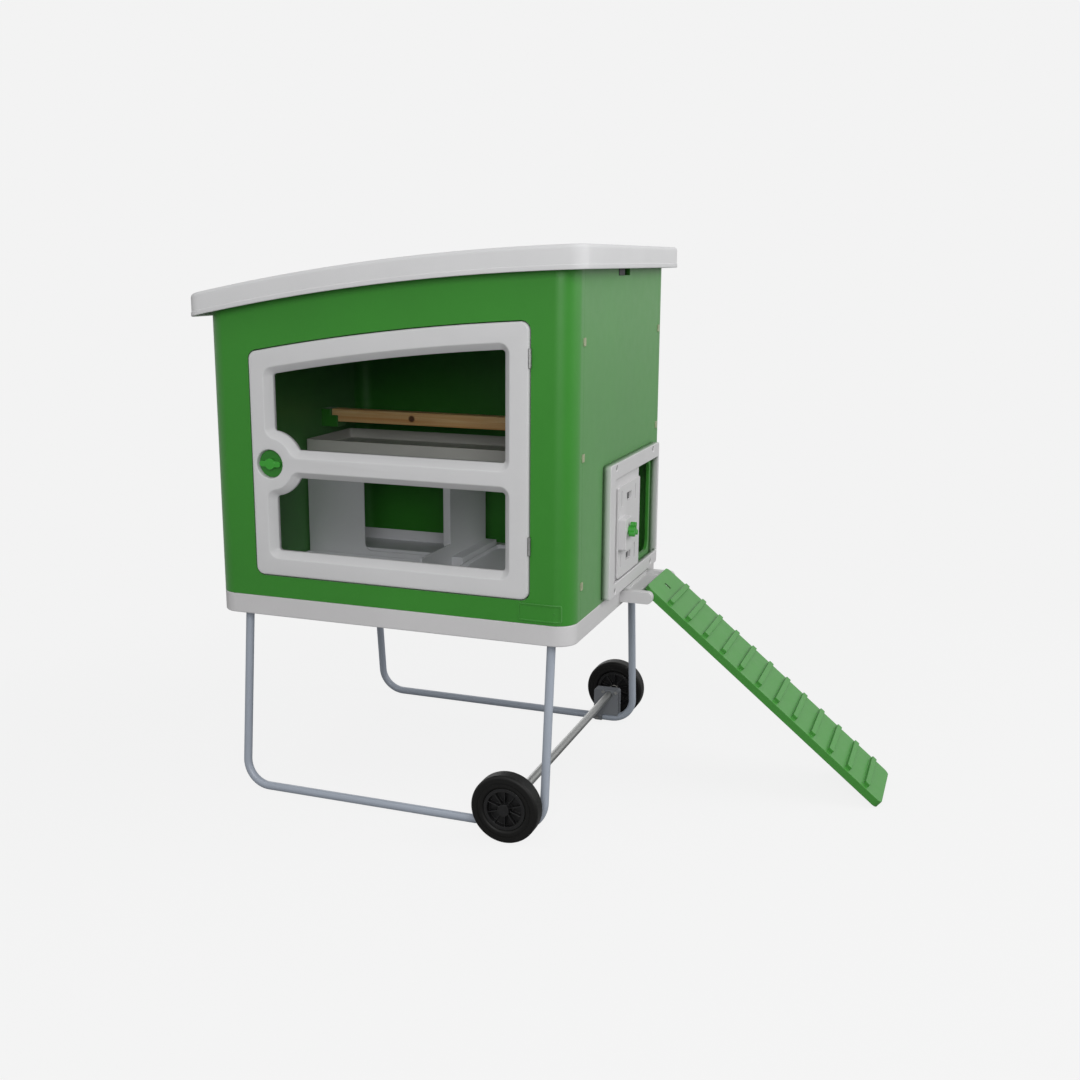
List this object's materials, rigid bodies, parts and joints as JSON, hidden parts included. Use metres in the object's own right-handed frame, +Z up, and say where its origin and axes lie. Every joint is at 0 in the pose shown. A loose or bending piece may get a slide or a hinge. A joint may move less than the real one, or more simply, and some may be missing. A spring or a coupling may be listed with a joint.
{
  "type": "wheeled hen house",
  "caption": "Raised moulded hen house on a splayed tube stand with wheels, a glazed hinged door, a sliding pop door, a lift-off roof and a folding ramp.",
  "frame": {"origin": "on the ground under the middle of the whole part's box", "axes": "+X along the front towards the ramp, -Y out of the front door, +Z up"},
  "size_m": [1.9802, 1.1506, 1.6421],
  "materials": {
    "grey_plastic": "satin moulded",
    "green_plastic": "satin moulded",
    "ramp_green": "satin moulded",
    "khaki_plastic": "satin moulded",
    "black_plastic": "satin moulded",
    "tyre": "matte",
    "tinted_glazing": "clear, tinted",
    "zinc": "bright zinc",
    "leg_paint": "satin powder coat",
    "pine": "planed",
    "nylon": "natural"
  },
  "bodies": {
    "house": {"base_tray": "grey_plastic", "pop_frame": "grey_plastic", "ramp_bracket": "grey_plastic", "tray_brackets": "grey_plastic", "nest_box": "grey_plastic", "front_panel": "green_plastic", "back_panel": "green_plastic", "left_panel": "green_plastic", "right_panel": "green_plastic", "blank_plaque": "green_plastic", "perch_cradles": "green_plastic", "corner_clips": "khaki_plastic", "roof_catch": "black_plastic", "axle_spacers": "black_plastic", "axle_caps": "black_plastic", "frame_hinge_leaves": "zinc", "hinge_pins": "zinc", "pop_frame_screws": "zinc", "ramp_bracket_screws": "zinc", "ramp_pin": "zinc", "leg_bolts": "zinc", "bracket_bolts": "zinc", "axle": "zinc", "front_leg_frame": "leg_paint", "rear_leg_frame": "leg_paint", "front_axle_bracket": "leg_paint", "rear_axle_bracket": "leg_paint"},
    "roof": {"roof_lid": "grey_plastic"},
    "door": {"door_frame": "grey_plastic", "upper_window": "tinted_glazing", "lower_window": "tinted_glazing", "window_beads": "grey_plastic", "door_hinge_leaves": "zinc"},
    "door_latch": {"door_knob": "green_plastic", "latch_tongue": "black_plastic"},
    "sliding_pop_door": {"pop_door": "grey_plastic"},
    "pop_lock": {"pop_knob": "green_plastic"},
    "folding_ramp": {"ramp": "ramp_green"},
    "lift_perch": {"perch": "pine"},
    "lift_droppings_tray": {"droppings_tray": "grey_plastic"},
    "lift_nest_tray": {"nest_tray": "grey_plastic"},
    "lift_floor_tray_left": {"floor_tray_left": "grey_plastic"},
    "lift_floor_tray_right": {"floor_tray_right": "grey_plastic"},
    "front_wheel": {"front_tyre": "tyre", "front_wheel_hub": "black_plastic", "front_wheel_bush": "nylon"},
    "rear_wheel": {"rear_tyre": "tyre", "rear_wheel_hub": "black_plastic", "rear_wheel_bush": "nylon"}
  },
  "joints": [
    {"name": "door_hinge", "type": "hinge", "parent": "house", "child": "door", "pos_m": [0.04941, -0.474, 1], "axis": [0, 0, 1], "range_deg": [0, 120]},
    {"name": "latch_turn", "type": "hinge", "parent": "door", "child": "door_latch", "pos_m": [-0.75209, -0.475, 1.016], "axis": [0, 1, 0], "range_deg": [0, 90]},
    {"name": "pop_door_slide", "type": "slide", "parent": "house", "child": "sliding_pop_door", "axis": [0, 1, 0], "range_m": [0, 0.196]},
    {"name": "pop_knob_turn", "type": "hinge", "parent": "sliding_pop_door", "child": "pop_lock", "pos_m": [0.21691, -0.062, 0.815], "axis": [1, 0, 0], "range_deg": [0, 90]},
    {"name": "ramp_hinge", "type": "hinge", "parent": "house", "child": "folding_ramp", "pos_m": [0.26091, 0.16, 0.59], "axis": [0, -1, 0], "range_deg": [0, 120]},
    {"name": "roof_lift", "type": "slide", "parent": "house", "child": "roof", "axis": [0, 0, 1], "range_m": [0, 0.3]},
    {"name": "perch_lift", "type": "slide", "parent": "house", "child": "lift_perch", "axis": [0, 0, 1], "range_m": [0, 0.2]},
    {"name": "droppings_tray_lift", "type": "slide", "parent": "house", "child": "lift_droppings_tray", "axis": [0, 0, 1], "range_m": [0, 0.025]},
    {"name": "nest_tray_lift", "type": "slide", "parent": "house", "child": "lift_nest_tray", "axis": [0, 0, 1], "range_m": [0, 0.25]},
    {"name": "floor_tray_left_lift", "type": "slide", "parent": "house", "child": "lift_floor_tray_left", "axis": [0, 0, 1], "range_m": [0, 0.2]},
    {"name": "floor_tray_right_lift", "type": "slide", "parent": "house", "child": "lift_floor_tray_right", "axis": [0, 0, 1], "range_m": [0, 0.2]},
    {"name": "front_wheel_spin", "type": "hinge", "parent": "house", "child": "front_wheel", "pos_m": [0.01291, -0.546, 0.1], "axis": [0, 1, 0], "continuous": true},
    {"name": "rear_wheel_spin", "type": "hinge", "parent": "house", "child": "rear_wheel", "pos_m": [0.01291, 0.546, 0.1], "axis": [0, 1, 0], "continuous": true}
  ]
}
